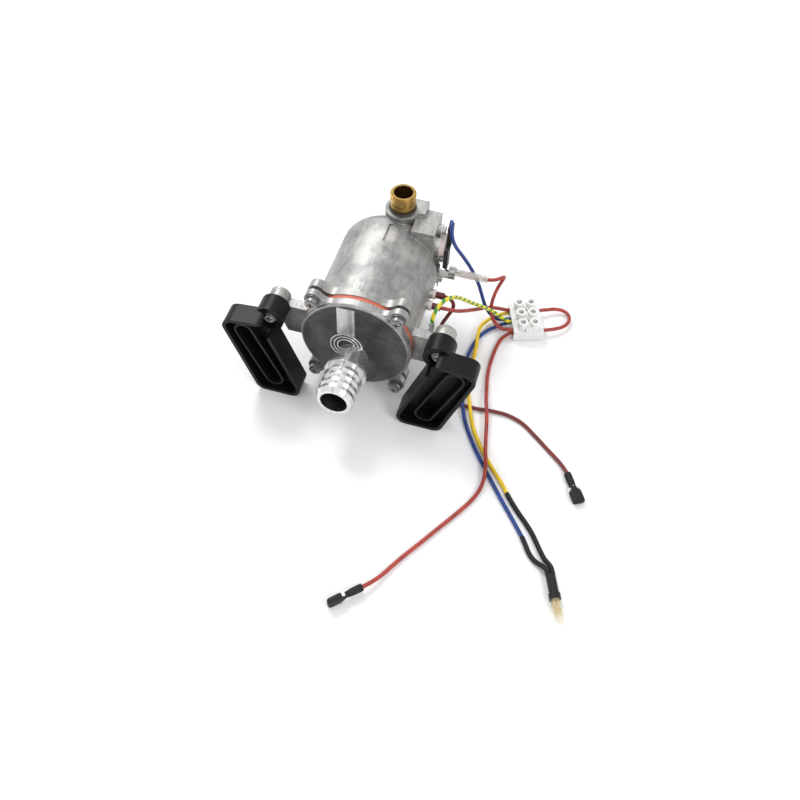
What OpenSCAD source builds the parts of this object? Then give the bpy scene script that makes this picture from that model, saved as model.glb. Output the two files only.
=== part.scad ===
// Steam generator of a garment steamer: a round cast pot with a bolted lid, a hose spigot,
// a brass water inlet, two moulded side brackets, a snap thermostat, a thermal fuse and its loom.
// Millimetres. The pot lies on its side on its two brackets: +Y is the closed end, -Y the lid.

/* [Pot] */
// Outer radius of the pot
pot_r = 33; // [30:0.5:42]
// Wall thickness of the pot
pot_wall = 5; // [4:0.5:8]
// Distance from the lid's joint face to the closed end of the pot
pot_len = 79.3; // [72:0.1:100]
// Radius of the rounded edge at the closed end
pot_edge_r = 9; // [4:0.5:12]
// Thickness of the pot's flange
flange_t = 6; // [4:0.5:9]
// How far the flange stands out past the pot's wall
flange_lip = 2; // [1.5:0.5:4]

/* [Lid] */
// Thickness of the lid
lid_t = 5.7; // [4.5:0.1:9]
// How far the lid's disc stands out past the pot's wall
lid_lip = 1.5; // [0:0.5:4]
// Rounding of the lid's front edge
lid_edge_r = 1.8; // [0.5:0.1:2.5]
// Thickness of the lid at its four lugs
lug_t = 4.2; // [3:0.1:4.4]
// Half spacing of the four lugs across
lug_x = 26; // [24:0.5:32]
// Half spacing of the four lugs up and down
lug_z = 30; // [28:0.5:36]
// Radius of each lug
lug_r = 5.5; // [4.5:0.25:6.5]
// Radius of the hollow between a lug and the disc
lug_fillet_r = 7; // [4:0.5:9]
// Thickness of the squeezed gasket
gasket_t = 2.5; // [1.5:0.1:3.5]

/* [Screws] */
// Radius of the lid and bracket screws
screw_r = 2; // [1.5:0.25:2.5]
// Radius of their heads
head_r = 3.8; // [3.2:0.1:4.2]
// Height of their heads
head_h = 2.8; // [2:0.1:4]
// Thickness of their washers
washer_t = 1; // [0.6:0.1:1.6]
// Radial clearance of every screw and pin in its hole
screw_gap = 0.2; // [0.1:0.05:0.4]

/* [Steam spigot] */
// Bore radius of the spigot
spigot_bore_r = 8.3; // [6:0.1:8.8]
// Radius of the spigot between its barbs
spigot_r = 10.9; // [10:0.1:13]
// How far each barb stands out
barb_h = 0.9; // [0.5:0.1:1.5]
// Distance between barbs
barb_pitch = 5; // [4:0.25:6]
// Number of barbs
barb_count = 4; // [2:1:4]
// Length of the spigot in front of its collar
spigot_len = 22.5; // [21.5:0.5:35]
// Radius of the collar
collar_r = 13; // [12:0.5:16]
// Thickness of the collar
collar_t = 2.6; // [1.5:0.1:4]
// Radius of the root between lid and collar
root_r = 9.6; // [9.5:0.1:12]
// Length of the root between lid and collar
root_len = 13; // [8:0.5:20]

/* [Water inlet] */
// Outer radius of the brass nipple
nipple_r = 8.2; // [7:0.1:9]
// Bore radius of the brass nipple
nipple_bore_r = 6.1; // [4:0.1:6.3]
// Height of the nipple above the cast block
nipple_h = 11.5; // [10:0.5:20]
// Depth of the nipple's thread in the cast block
nipple_thread = 8; // [5:0.5:8]

/* [Side brackets] */
// Distance from the pot's axis to the bracket screws, across
boss_x = 52.2; // [50:0.1:58]
// Height of the bracket screws above the pot's axis
boss_z = 12; // [8:0.5:16]
// Radius of the cast boss behind each bracket
boss_r = 6.5; // [5.5:0.1:8]
// Radius of the bracket's sleeve
sleeve_r = 9; // [8:0.1:11]
// Depth of the moulded bracket, front rim to back
bracket_d = 14; // [12:0.5:20]
// Wall of the moulded bracket
bracket_wall = 2.2; // [1.5:0.1:3]
// Rounding of the bracket's four corners
bracket_corner_r = 6.7; // [5:0.1:8]
// Outer radius of the oblong rib inside the bracket
rib_r = 6.2; // [5:0.1:6.5]

/* [Heater] */
// Radius of the tubular heating element
element_r = 3.2; // [2.5:0.1:3.8]
// Distance between its two legs
element_pitch = 10; // [9:0.5:14]

/* [Thermostat] */
// Radius of the thermostat's metal cap
cap_r = 8; // [7:0.1:9]
// Travel of the snap disc
snap_travel = 0.35; // [0.2:0.05:0.5]
// Radial running clearance of the push pin
pin_gap = 0.05; // [0.03:0.01:0.1]

/* [Terminal block] */
// Distance between poles
pole_pitch = 9; // [8.5:0.5:12]
// Length of the block along the wires
block_w = 20; // [18:0.5:26]
// Height of the block
block_h = 14; // [12:0.5:18]

/* [Loom] */
// Outer diameter of every lead
wire_d = 2.4; // [1.8:0.1:2.6]

/* [Hidden] */

$fn = 64;

// Places along Y, from the lid's joint face, and the frame's own offsets
lid_back = 0;
lid_r = pot_r + lid_lip;
lid_front = -lid_t;
lug_front = -lug_t;
flange_front = gasket_t;
flange_back = flange_front + flange_t;
pot_back = pot_len + gasket_t;
chamber_r = pot_r - pot_wall;
chamber_back = pot_back - pot_wall;
flange_r = pot_r + flange_lip;

arm_t = 6.8;
arm_low = -10;
boss_front = flange_front - 0.7;
boss_back = boss_front + 9;
bush_len = 9;
bush_r = 4.5;
bush_front = boss_front - bush_len;
bracket_back = boss_front - 10;
bracket_front = bracket_back - bracket_d;
tray_depth = 8.5;
tray_floor = bracket_front + tray_depth;
rib_front = bracket_front + 2;
rib_wall = 1.3;
foot_z = -36.8;
spigot_root = lid_front - root_len;
spigot_base = spigot_root - collar_t;
spigot_tip = spigot_base - spigot_len;
spigot_at = [-1.3, -9.6];
nipple_y = pot_back + 0.5;
nipple_x = 4.2;
inlet_boss_r = nipple_r + 2.8;
inlet_top = pot_r + 3.5;
y_mid = (spigot_tip + nipple_y + inlet_boss_r) / 2;
axis_h = bracket_corner_r - foot_z;

// Bracket outline: the centres of its four rounded corners, counter-clockwise
bracket_corners = [[boss_x - 13.8, foot_z], [boss_x + 2.4, foot_z],
                   [boss_x + 19, boss_z - 2.2], [boss_x + 4, boss_z - 0.7]];
rib_top = [boss_x + 13.1, boss_z - 5.5];
rib_bottom = [boss_x - 3.3, foot_z + 4.8];

// Thermostat, seated on a pad on the pot's right side, its axis along X
seat_x = chamber_r + 1;
therm_y = pot_back - 5;
therm_z = 18;
cap_h = 2.4;
cap_wall = 0.3;
guide_t = 0.8;
strap_t = 0.8;
body_len = 3.6;
body_r = cap_r - 0.6;
body_wall = 1.2;
cap_end = seat_x + cap_h;
body_end = cap_end + body_len;
ear_offset = 12;
blade_offset = 3.5;
blade_w = 5;
blade_t = 0.7;
blade_x = body_end + 1;
blade_len = 9;
boot_t = 3;
boot_x = body_end + 0.05;
boot_len = 15;
arm_pivot = 4.2;
arm_x = cap_end + 1;
disc_t = 0.25;
disc_dome = 0.5;
disc_x = seat_x + cap_wall + 0.05;

// Fuse, along X below the lower blade
fuse_y = therm_y - blade_offset;
fuse_z = -0.5;
fuse_in_r = 2.1;
fuse_bend = 2;
link_r = 0.6;
neon_r = 2.9;
fuse_out_r = 2.6;
holder_x = pot_r - 0.5;
fuse_start = holder_x + 14.5;
fuse_tip = holder_x + 32.5;
holder_t = 0.8;

// Heater pins, on the pot's right side
heater_y = 39.8;
heater_end = pot_r + 1.5;
bush_end = heater_end + 2;
pin_r = 1;
pin_end = bush_end + 4;
element_bend = -18;

// Earth tag, on the back of the right arm
tag_x = 43;
tag_z = 6;
tag_r = 3.6;
tag_t = 0.8;
tag_y = flange_front + arm_t;

// Terminal block, turned on the table
block_at = [93.3, 56.4, 0];
block_turn = 20;
port_z = 4.6;
port_r = wire_d * 1.08 + 0.06;
insert_len = 12;
block_screw_u = 4;
insert_end = insert_len / 2;

// Ring of leads that share a port
bundle_r = wire_d * 0.58;
pair_r = wire_d * 0.52;
port_wall_r = 4.05;

// A flat shape in X and Z, carried from y0 to y1
module slab(y0, y1) {
    translate([0, y1, 0]) rotate([90, 0, 0]) linear_extrude(height = y1 - y0) children();
}

// A profile of radius and Y, turned about the Y axis
module turned_y() {
    rotate([-90, 0, 0]) rotate_extrude() children();
}

module rod_x(y, z, x0, x1, r) {
    translate([x0, y, z]) rotate([0, 90, 0]) cylinder(r = r, h = x1 - x0);
}

module rod_y(x, z, y0, y1, r) {
    translate([x, y0, z]) rotate([-90, 0, 0]) cylinder(r = r, h = y1 - y0);
}

module in_frame() {
    translate([0, -y_mid, axis_h]) children();
}

// Two round ends joined by straight sides
module capsule(a, b, r) {
    along = (b - a) / norm(b - a);
    side = [-along[1], along[0]] * r;
    for (end = [a, b]) translate(end) circle(r);
    polygon([a + side, a - side, b - side, b + side]);
}

function edge_normal(a, b) = [b[1] - a[1], a[0] - b[0]] / norm(b - a);

// A four-sided outline grown outwards by r, with round corners
module rounded_quad(c, r) {
    for (p = c) translate(p) circle(r);
    polygon([for (i = [0:3]) for (n = [edge_normal(c[(i + 3) % 4], c[i]), edge_normal(c[i], c[(i + 1) % 4])])
             c[i] + r * n]);
}

// Centre of the hollow circle that touches both the disc and a lug
function hollow_centre(c, disc_r, side) =
    let (d = norm(c), u = c / d, a = disc_r + lug_fillet_r, b = lug_r + lug_fillet_r,
         t = (a * a - b * b + d * d) / (2 * d))
    u * t + side * [-u[1], u[0]] * sqrt(a * a - t * t);

module lugged_disc(disc_r) {
    circle(disc_r, $fn = 128);
    for (sx = [-1, 1]) for (sz = [-1, 1]) {
        c = [sx * lug_x, sz * lug_z];
        translate(c) circle(lug_r);
        for (side = [-1, 1]) difference() {
            polygon([[0, 0], c, hollow_centre(c, disc_r, side)]);
            translate(hollow_centre(c, disc_r, side)) circle(lug_fillet_r - 0.03);
        }
    }
}

module at_lugs() {
    for (sx = [-1, 1]) for (sz = [-1, 1]) translate([sx * lug_x, 0, sz * lug_z]) children();
}

module at_bosses() {
    for (sx = [-1, 1]) translate([sx * boss_x, 0, boss_z]) children();
}

// Half outline of a pot with a rounded closed end
module round_ended(r, y0, y1, edge) {
    translate([0, y0]) square([r, y1 - edge - y0]);
    translate([0, y0]) square([r - edge, y1 - y0]);
    translate([r - edge, y1 - edge]) circle(edge);
}

module arm_outline() {
    polygon([[chamber_r - 6, arm_low], [boss_x - 6, arm_low], [boss_x, boss_z - boss_r + 1],
             [boss_x, boss_z], [chamber_r - 6, boss_z]]);
}

module pot_outside() {
    slab(flange_front, flange_back) lugged_disc(flange_r);
    turned_y() round_ended(pot_r, flange_front, pot_back, pot_edge_r);
    for (sx = [0, 1]) mirror([sx, 0, 0]) {
        slab(flange_front, flange_front + arm_t) arm_outline();
        rod_y(boss_x, boss_z, boss_front, boss_back, boss_r);
    }
    // Inlet boss and the block beside it
    translate([nipple_x, nipple_y, 8]) cylinder(r = inlet_boss_r, h = inlet_top - 8);
    translate([nipple_x, nipple_y - 2, 8]) cube([15, inlet_boss_r + 1.5, inlet_top - 8]);
    // Thermostat pad with two screw posts
    translate([14, therm_y - 11, therm_z - 16]) cube([seat_x - 14, 22, 32]);
    for (s = [-1, 1]) rod_x(therm_y, therm_z + s * ear_offset, seat_x - 2, cap_end, 3.2);
    // Boss under the fuse holder
    rod_x(fuse_y, fuse_z - 8, chamber_r - 2, holder_x + 0.6, 3.8);
}

module thermostat_flat() {
    difference() {
        translate([seat_x, therm_y - 11.5, therm_z - 16.5]) cube([10, 23, 33]);
        for (s = [-1, 1]) rod_x(therm_y, therm_z + s * ear_offset, seat_x - 2, cap_end, 3.2);
    }
}

module boiler_pot() {
    color("silver") in_frame() difference() {
        pot_outside();
        turned_y() round_ended(chamber_r, flange_front - 1, chamber_back, 5);
        thermostat_flat();
        at_lugs() rod_y(0, 0, flange_front - 1, flange_back + 1, screw_r + 0.05);
        at_bosses() rod_y(0, 0, boss_front - 1, boss_back - 2, screw_r + 0.05);
        // Water way: down the inlet boss, then forward into the chamber
        translate([nipple_x, nipple_y, inlet_top - nipple_thread]) cylinder(r = nipple_r - 1, h = 20);
        translate([nipple_x, nipple_y, 12.5]) cylinder(r = 4, h = 20);
        rod_y(nipple_x, 17, chamber_back - 3, nipple_y + 0.5, 3);
        for (k = [0, 1]) rod_x(heater_y + k * element_pitch, 0, 10, pot_r + 5, element_r + 0.05);
        for (s = [-1, 1]) rod_x(therm_y, therm_z + s * ear_offset, seat_x - 0.4, cap_end + 1, 1.55);
        translate([holder_x, fuse_y - 4.5, fuse_z - 13]) cube([4, 9, 13.8]);
        rod_x(fuse_y, fuse_z - 8, chamber_r + 1, holder_x + 1, 1.55);
        rod_y(tag_x, tag_z, tag_y - 5, tag_y + 1, 2.05);
        // Shallow oblong recess on top of the pot
        translate([-0.5, 53.5, pot_r - 1.2]) cube([6, 16, 5]);
    }
}

module lid_plate() {
    slab(lug_front, lid_back) lugged_disc(lid_r);
    turned_y() {
        translate([0, lid_front]) square([lid_r - lid_edge_r, lid_t]);
        translate([0, lid_front + lid_edge_r]) square([lid_r, lid_t - lid_edge_r]);
        translate([lid_r - lid_edge_r, lid_front + lid_edge_r]) circle(lid_edge_r);
    }
}

// Half outline of the spigot, from its root to its tip
module spigot_profile() {
    translate([0, spigot_root]) square([root_r, root_len + 1]);
    translate([0, spigot_base]) square([collar_r, collar_t]);
    translate([0, spigot_tip + 1]) square([spigot_r, spigot_len - 1]);
    polygon([[0, spigot_tip], [spigot_r - 0.6, spigot_tip], [spigot_r, spigot_tip + 1], [0, spigot_tip + 1]]);
    for (k = [0:barb_count - 1]) translate([0, spigot_tip + 1 + k * barb_pitch])
        polygon([[0, 0], [spigot_r, 0], [spigot_r + barb_h, 2], [spigot_r + barb_h, 2.6], [spigot_r, 2.8],
                 [0, 2.8]]);
}

module boiler_lid() {
    color("dimgray") in_frame() difference() {
        union() {
            lid_plate();
            translate([spigot_at[0], 0, spigot_at[1]]) turned_y() spigot_profile();
            // Turned rings and the raised strip above them
            for (r = [10.4, 8.2, 6]) difference() {
                rod_y(-5.3, -2.2, lid_front - 0.35, lid_front + 0.5, r);
                rod_y(-5.3, -2.2, lid_front - 1, lid_front + 1, r - 0.7);
            }
            translate([-11, lid_front - 0.3, 8]) cube([11, 1, 22.5]);
        }
        rod_y(spigot_at[0], spigot_at[1], spigot_tip - 1, lid_front, spigot_bore_r);
        rod_y(spigot_at[0], spigot_at[1], lid_front - 1, lid_back + 1, spigot_bore_r - 2);
        at_lugs() rod_y(0, 0, lug_front - 1, lid_back + 1, screw_r + screw_gap);
    }
}

module lid_gasket() {
    color("indianred") in_frame() slab(lid_back, flange_front) difference() {
        circle(lid_r - 0.1, $fn = 128);
        circle(chamber_r, $fn = 128);
    }
}

// A pan-head screw along -Y with a cross recess; its seat is at y = 0
module screw_along_y(shank, r = screw_r, hr = head_r, hh = head_h) {
    difference() {
        union() {
            rod_y(0, 0, -hh * 0.7, 0, hr);
            rod_y(0, 0, -hh, 0, hr - 0.9);
            rod_y(0, 0, -1, shank, r);
        }
        for (a = [0, 90]) rotate([0, a, 0]) translate([-hr * 0.55, -hh - 1, -0.45]) cube([hr * 1.1, 2.2, 0.9]);
    }
}

module washer_along_y(r, hole, t) {
    difference() {
        rod_y(0, 0, -t, 0, r);
        rod_y(0, 0, -t - 1, 1, hole);
    }
}

module lid_screws() {
    color("gray") in_frame() at_lugs() translate([0, lug_front - 2 * washer_t, 0])
        screw_along_y(lug_t + 2 * washer_t + flange_back - 0.5);
}

// A split spring washer on a flat one under each lid screw
module lid_washers() {
    color("dimgray") in_frame() at_lugs() {
        translate([0, lug_front, 0]) washer_along_y(head_r + 0.9, screw_r + 0.1, washer_t);
        translate([0, lug_front - washer_t, 0]) difference() {
            washer_along_y(head_r, screw_r + 0.1, washer_t);
            translate([0, -washer_t - 1, -0.3]) cube([head_r + 1, washer_t + 2, 0.6]);
        }
    }
}

module heating_element() {
    color("gray") in_frame() difference() {
        union() {
            for (k = [0, 1]) rod_x(heater_y + k * element_pitch, 0, element_bend, heater_end, element_r);
            translate([element_bend, heater_y + element_pitch / 2, 0]) rotate([0, 0, 90])
                rotate_extrude(angle = 180) translate([element_pitch / 2, 0]) circle(element_r);
        }
        for (k = [0, 1]) rod_x(heater_y + k * element_pitch, 0, heater_end - 5, heater_end + 1, pin_r + 0.05);
    }
}

module at_heater_pins() {
    for (k = [0, 1]) translate([0, heater_y + k * element_pitch, 0]) children();
}

module heater_bushes() {
    color("ivory") in_frame() at_heater_pins() difference() {
        rod_x(0, 0, heater_end, bush_end, element_r);
        rod_x(0, 0, heater_end - 1, bush_end + 1, pin_r + 0.05);
    }
}

module heater_pins() {
    color("lightgray") in_frame() at_heater_pins() rod_x(0, 0, heater_end - 4.8, pin_end, pin_r);
}

module heater_pin_sleeves() {
    color("maroon") in_frame() at_heater_pins() difference() {
        rod_x(0, 0, bush_end, pin_end + 1.5, 2.2);
        rod_x(0, 0, bush_end - 1, pin_end + 4, wire_d / 2 + 0.1);
    }
}

module nipple_profile() {
    translate([0, -nipple_thread + 2]) square([nipple_r - 1.05, nipple_thread]);
    square([nipple_r - 0.9, nipple_h - 1]);
    translate([0, 2]) square([nipple_r - 0.2, 2.6]);
    translate([0, 5.6]) square([nipple_r, nipple_h - 6.4]);
    translate([0, nipple_h - 1]) square([nipple_r - 0.6, 1]);
}

module inlet_nipple() {
    color("goldenrod") in_frame() translate([nipple_x, nipple_y, inlet_top + 0.8]) difference() {
        rotate_extrude() nipple_profile();
        translate([0, 0, -nipple_thread - 1]) cylinder(r = nipple_bore_r, h = nipple_h + nipple_thread + 5);
    }
}

module inlet_seal() {
    color("sienna") in_frame() translate([nipple_x, nipple_y, inlet_top]) difference() {
        cylinder(r = nipple_r + 0.6, h = 0.8);
        translate([0, 0, -1]) cylinder(r = nipple_r - 1, h = 3);
    }
}

module bracket() {
    difference() {
        union() {
            slab(bracket_front, bracket_back) rounded_quad(bracket_corners, bracket_corner_r);
            rod_y(boss_x, boss_z, bracket_back - 3, boss_front, sleeve_r);
        }
        slab(bracket_front - 1, tray_floor) rounded_quad(bracket_corners, bracket_corner_r - bracket_wall);
        slab(tray_floor - 1, tray_floor + 3) capsule(rib_top, rib_bottom, rib_r - rib_wall);
        rod_y(boss_x, boss_z, bracket_front - 1, bush_front, head_r + 1.5);
        rod_y(boss_x, boss_z, bush_front - 1, boss_front + 1, bush_r + 0.02);
    }
    slab(rib_front, tray_floor) difference() {
        capsule(rib_top, rib_bottom, rib_r);
        capsule(rib_top, rib_bottom, rib_r - rib_wall);
    }
}

module right_bracket() {
    color("dimgray") in_frame() bracket();
}

module left_bracket() {
    color("dimgray") in_frame() mirror([1, 0, 0]) bracket();
}

module bracket_bushes() {
    color("silver") in_frame() at_bosses() difference() {
        rod_y(0, 0, bush_front, boss_front, bush_r);
        rod_y(0, 0, bush_front - 1, boss_front + 1, screw_r + screw_gap);
    }
}

module bracket_screws() {
    color("gray") in_frame() at_bosses() translate([0, bush_front - washer_t, 0])
        screw_along_y(washer_t + bush_len + 6);
}

module bracket_washers() {
    color("dimgray") in_frame() at_bosses() translate([0, bush_front, 0])
        washer_along_y(head_r + 1.1, screw_r + 0.1, washer_t);
}

// Thermostat pieces stand at [0, therm_y, therm_z]
module at_thermostat() {
    translate([0, therm_y, therm_z]) children();
}

module thermostat_cap() {
    color("silver") in_frame() at_thermostat() difference() {
        rod_x(0, 0, seat_x, cap_end, cap_r);
        rod_x(0, 0, seat_x + cap_wall, cap_end + 1, cap_r - cap_wall);
    }
}

module thermostat_body() {
    color("mistyrose") in_frame() at_thermostat() difference() {
        rod_x(0, 0, cap_end, body_end, body_r);
        rod_x(0, 0, cap_end - 1, body_end - 1, body_r - body_wall);
        for (s = [-1, 1]) translate([body_end - 2, s * blade_offset - blade_w / 2, s - blade_t / 2])
            cube([3, blade_w, blade_t]);
    }
}

module thermostat_guide() {
    color("ivory") in_frame() at_thermostat() difference() {
        rod_x(0, 0, cap_end - guide_t, cap_end, cap_r - cap_wall);
        rod_x(0, 0, cap_end - 2, cap_end + 1, 1 + pin_gap);
    }
}

// A shallow domed disc that snaps towards the push pin
module snap_disc() {
    color("gold") in_frame() at_thermostat() rotate([0, 90, 0]) translate([0, 0, disc_x]) rotate_extrude()
        polygon([[0, disc_dome], [cap_r - 1, 0], [cap_r - 1, disc_t], [0, disc_dome + disc_t]]);
}

module push_pin() {
    color("white") in_frame() at_thermostat()
        rod_x(0, 0, disc_x + disc_dome + disc_t + 0.05, arm_x - 0.05, 1);
}

module contact_arm() {
    color("gold") in_frame() at_thermostat() {
        translate([arm_x, -1.5, -arm_pivot]) cube([0.2, 3, arm_pivot + 3.8]);
        rod_y(arm_x, -arm_pivot, -1.5, 1.5, 0.35);
        translate([0, 0, 3]) rod_x(0, 0, arm_x + 0.1, arm_x + 0.6, 0.8);
    }
}

// Two blades, each with a stem through the body and a flat turned up or down
module thermostat_terminals() {
    color("lightgray") in_frame() at_thermostat() for (s = [-1, 1])
        translate([0, s * blade_offset - blade_w / 2, 0]) {
            translate([body_end - 1, 0, s - blade_t / 2])
                cube([blade_x + blade_t - body_end + 1, blade_w, blade_t]);
            translate([blade_x, 0, s > 0 ? 1 : -blade_len]) cube([blade_t, blade_w, blade_len - 1]);
        }
}

module strap_outline() {
    difference() {
        union() {
            circle(cap_r + 1);
            capsule([0, -ear_offset], [0, ear_offset], 3.8);
        }
        circle(body_r + 0.05);
        for (s = [-1, 1]) capsule([0, s * ear_offset - 0.8], [0, s * ear_offset + 0.8], 1.7);
    }
}

module thermostat_strap() {
    color("lightgray") in_frame() at_thermostat() translate([cap_end, 0, 0]) rotate([90, 0, 90])
        linear_extrude(height = strap_t) strap_outline();
}

// A small pan-head screw along -X; its seat is at x = 0
module screw_along_x(shank) {
    difference() {
        union() {
            rod_x(0, 0, 0, 1.8, 2.7);
            rod_x(0, 0, -shank, 1, 1.5);
        }
        translate([1, -3, -0.4]) cube([2, 6, 0.8]);
    }
}

module thermostat_screws() {
    color("lightgray") in_frame() at_thermostat() for (s = [-1, 1])
        translate([cap_end + strap_t, 0, s * ear_offset]) screw_along_x(strap_t + 2.6);
}

// A moulded boot over one blade, round at the lead's end
module boot(side) {
    mirror([0, side > 0 ? 0 : 1, 0]) mirror([0, 0, side > 0 ? 0 : 1]) translate([0, blade_offset, 0])
        difference() {
            translate([boot_x, -3.2, -1]) cube([boot_t, 6.4, boot_len]);
            translate([blade_x - 0.05, -blade_w / 2 - 0.05, -2])
                cube([blade_t + 0.1, blade_w + 0.1, blade_len + 2]);
            translate([boot_x - 1, -blade_w / 2 - 0.05, -2]) cube([3, blade_w + 0.1, 3.4]);
            translate([blade_x + blade_t / 2, 0, blade_len - 1]) cylinder(r = wire_d / 2 + 0.05, h = 10);
        }
}

module upper_terminal_boot() {
    color("dimgray") in_frame() at_thermostat() boot(1);
}

module lower_terminal_boot() {
    color("dimgray") in_frame() at_thermostat() boot(-1);
}

module fuse_holder() {
    color("gray") in_frame() translate([0, fuse_y, 0]) difference() {
        union() {
            translate([holder_x, -4, fuse_z - 12]) cube([holder_t, 8, 8.4]);
            translate([holder_x, -3, fuse_z - 4]) cube([11, 6, holder_t]);
            rod_x(0, fuse_z, holder_x + 7, holder_x + 11, fuse_out_r + 0.9);
        }
        rod_x(0, fuse_z, holder_x - 1, holder_x + 11, fuse_out_r);
        rod_x(0, fuse_z - 8, holder_x - 1, holder_x + 2, 1.7);
    }
}

module fuse_holder_screw() {
    color("lightgray") in_frame() translate([holder_x + holder_t, fuse_y, fuse_z - 8]) screw_along_x(4);
}

module fuse_sleeve() {
    color("lightcyan") in_frame() translate([0, fuse_y, 0]) difference() {
        rod_x(0, fuse_z, holder_x + 6.5, fuse_tip, fuse_out_r);
        rod_x(0, fuse_z, holder_x + 5.5, fuse_tip + 1, fuse_in_r);
    }
}

module earth_tag() {
    color("lightgray") in_frame() {
        difference() {
            union() {
                rod_y(tag_x, tag_z, tag_y, tag_y + tag_t, tag_r);
                translate([tag_x - 1.4, tag_y, tag_z]) cube([2.8, tag_t, 8.4]);
            }
            rod_y(tag_x, tag_z, tag_y - 1, tag_y + 2, screw_r + 0.15);
        }
        translate([tag_x, tag_y + 1.7, tag_z + 6.5]) difference() {
            cylinder(r = 1.85, h = 5.5);
            translate([0, 0, 2]) cylinder(r = wire_d / 2 + 0.2, h = 6);
        }
    }
}

module earth_screw() {
    color("gray") in_frame() translate([tag_x, tag_y + tag_t, tag_z]) mirror([0, 1, 0])
        screw_along_y(tag_t + 4.5, screw_r, head_r - 0.3, head_h - 0.4);
}

module on_block() {
    translate(block_at) rotate([0, 0, block_turn]) children();
}

module at_poles() {
    for (v = [-1, 0, 1]) translate([0, v * pole_pitch, 0]) children();
}

module block_body() {
    color("white") on_block() difference() {
        union() {
            translate([-block_w / 2, -1.5 * pole_pitch, 0.4]) cube([block_w, 3 * pole_pitch, block_h * 0.55]);
            translate([-2.2, -1.5 * pole_pitch, 0]) cube([4.4, 3 * pole_pitch, block_h * 0.72]);
            at_poles() for (s = [-1, 1]) {
                translate([s * block_screw_u, 0, 1]) cylinder(r = 3.3, h = block_h - 1);
                rod_x(0, port_z, s > 0 ? 5 : -block_w / 2, s > 0 ? block_w / 2 : -5, port_wall_r);
            }
        }
        at_poles() {
            rod_x(0, port_z, -block_w, block_w, port_r);
            for (s = [-1, 1]) translate([s * block_screw_u, 0, port_z]) cylinder(r = 1.9, h = block_h);
        }
        for (v = [-0.5, 0.5]) translate([0, v * pole_pitch, -1]) cylinder(r = 1.4, h = block_h + 2);
    }
}

module block_inserts() {
    color("goldenrod") on_block() at_poles() difference() {
        rod_x(0, port_z, -insert_len / 2, insert_len / 2, port_r - 0.05);
        rod_x(0, port_z, -insert_len, insert_len, 1.7);
        for (s = [-1, 1]) translate([s * block_screw_u, 0, port_z]) cylinder(r = 1.5, h = 5);
    }
}

module block_screws() {
    color("lightgray") on_block() at_poles() for (s = [-1, 1])
        translate([s * block_screw_u, 0, port_z + 1]) difference() {
            cylinder(r = 1.45, h = block_h - port_z - 3);
            translate([-2, -0.3, block_h - port_z - 4]) cube([4, 0.6, 2]);
        }
}

function heading(turn) = [cos(turn), sin(turn), 0];
// A point of the terminal block, from its own middle
function in_block(u, v, z) = block_at + u * heading(block_turn) + v * heading(block_turn + 90) + [0, 0, z];
// Where a lead stands in a port: side -1 or 1, pole -1 to 1, then its offset across and up
function port(side, pole, across, up, out) =
    in_block(side * (insert_end + out), pole * pole_pitch + across, port_z + up);
function ring(angle) = bundle_r * [cos(angle), sin(angle)];
function heater_pin(k, out) = [pin_end + out, heater_y + k * element_pitch - y_mid, axis_h];

// A smooth curve through hand-placed points, n steps from each to the next
function slope(p, i) =
    let (a = max(i - 1, 0), b = min(i + 1, len(p) - 1))
    (p[b] - p[a]) / (norm(p[b] - p[i]) + norm(p[i] - p[a]));
function between(p, i, t) =
    let (d = norm(p[i + 1] - p[i]), u = 1 - t)
    u * u * (1 + 2 * t) * p[i] + t * u * u * d * slope(p, i)
    + t * t * (3 - 2 * t) * p[i + 1] - t * t * u * d * slope(p, i + 1);
function curve(p, n) = concat([for (i = [0:len(p) - 2]) for (k = [0:n - 1]) between(p, i, k / n)], [p[len(p) - 1]]);
function unit(v) = v / norm(v);
function direction(c, i) = unit(c[min(i + 1, len(c) - 1)] - c[max(i - 1, 0)]);
// Side vectors carried along the curve without twisting
function sides(c) =
    let (t0 = direction(c, 0), s0 = unit(cross(t0, abs(t0[2]) > 0.9 ? [1, 0, 0] : [0, 0, 1])))
    [for (i = 0, s = s0; i < len(c); i = i + 1,
          s = i < len(c) ? unit(s - (s * direction(c, i)) * direction(c, i)) : s) s];

// A lead: an eight-sided tube along a route
module lead(route, d = wire_d) {
    c = curve(route, 2);
    s = sides(c);
    n = 8;
    points = [for (i = [0:len(c) - 1]) let (t = direction(c, i), b = cross(t, s[i])) for (k = [0:n - 1])
              c[i] + d / 2 * (cos(360 * k / n) * s[i] + sin(360 * k / n) * b)];
    walls = [for (i = [0:len(c) - 2]) for (k = [0:n - 1])
             [i * n + k, i * n + (k + 1) % n, (i + 1) * n + (k + 1) % n, (i + 1) * n + k]];
    ends = [[for (k = [0:n - 1]) n - 1 - k], [for (k = [0:n - 1]) (len(c) - 1) * n + k]];
    polyhedron(points = points, faces = concat([for (w = walls) [w[3], w[2], w[1], w[0]]],
                                               [for (e = ends) [for (k = [0:n - 1]) e[n - 1 - k]]]));
}

// Where the spades and the neon lamp lie on the table, and which way they point
mains_spade_at = [43, -166, 4.1];
mains_spade_turn = 225;
return_spade_at = [143.5, -59, 2.5];
return_spade_turn = -60;
neon_at = [144, -126, 3.6];
neon_turn = -69;
spade_grip = 4;
neon_sleeve_r = 1.45;
neon_sleeve_gap = 1.5;
neon_blue_entry = neon_at + neon_sleeve_gap * heading(neon_turn - 90) - 0.15 * heading(neon_turn);
neon_yellow_entry = neon_at + neon_sleeve_gap * heading(neon_turn + 90) - 0.15 * heading(neon_turn);

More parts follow.
